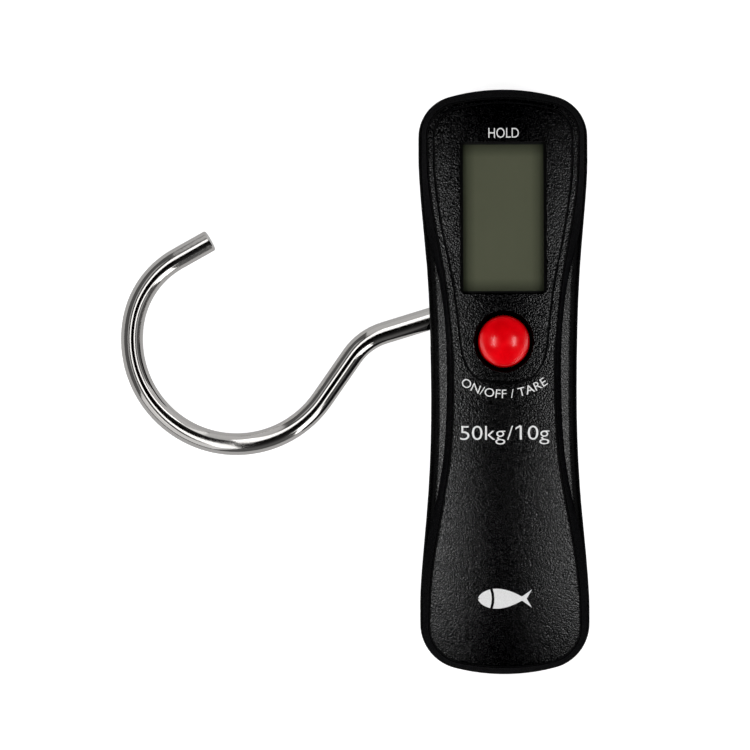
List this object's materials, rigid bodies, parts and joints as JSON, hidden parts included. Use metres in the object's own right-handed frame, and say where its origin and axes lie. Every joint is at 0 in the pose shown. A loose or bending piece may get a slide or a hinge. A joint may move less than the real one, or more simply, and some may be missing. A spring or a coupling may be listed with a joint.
{
  "type": "digital fish scale",
  "caption": "Hand-held digital hanging scale: dog-bone casing with a display and push button, and a swinging steel wire hook.",
  "frame": {"origin": "middle of the flat back face that the scale lies on", "axes": "+Z out of the display face, +Y towards the display end, +X away from the hook"},
  "size_m": [0.1125, 0.1404, 0.0282],
  "materials": {
    "casing": "satin",
    "window": "gloss",
    "lcd": "satin",
    "frame_plastic": "matte",
    "rubber": "matte",
    "board": "satin",
    "resin": "satin",
    "component": "satin",
    "button": "gloss",
    "aluminium": "satin",
    "gauge": "satin",
    "sealant": "satin",
    "steel": "satin",
    "hook_steel": "polished",
    "battery": "satin",
    "wire_red": "satin",
    "wire_black": "satin",
    "white": "satin"
  },
  "bodies": {
    "casing": {"front_shell": "casing", "rear_shell": "casing", "display_window": "window", "lcd_panel": "lcd", "lcd_frame": "frame_plastic", "contact_strips": "rubber", "circuit_board": "board", "chip_blob": "resin", "board_components": "component", "switch_body": "frame_plastic", "load_cell": "aluminium", "strain_gauges": "gauge", "gauge_sealant": "sealant", "anchor_plate": "steel", "hook_pin": "steel", "pin_clip": "steel", "battery_left": "battery", "battery_right": "battery", "battery_contacts": "steel", "battery_springs": "steel", "battery_lead_red": "wire_red", "battery_lead_black": "wire_black", "cell_leads": "white", "case_screws": "steel", "board_screws": "steel", "cell_screws": "steel"},
    "hook": {"hook": "hook_steel"},
    "button": {"button_cap": "button", "switch_plunger": "frame_plastic"},
    "battery_door": {"battery_door": "casing"}
  },
  "joints": [
    {"name": "hook_swing", "type": "hinge", "parent": "casing", "child": "hook", "pos_m": [0, 0.0206, 0.012], "axis": [0, 0, 1], "range_deg": [-35, 8]},
    {"name": "button_press", "type": "slide", "parent": "casing", "child": "button", "axis": [0, 0, -1], "range_m": [0, 0.0006], "stiffness_N_per_m": 1500, "springref_m": -0.0002},
    {"name": "battery_door_slide", "type": "slide", "parent": "casing", "child": "battery_door", "axis": [0, -1, 0], "range_m": [0, 0.054]}
  ]
}
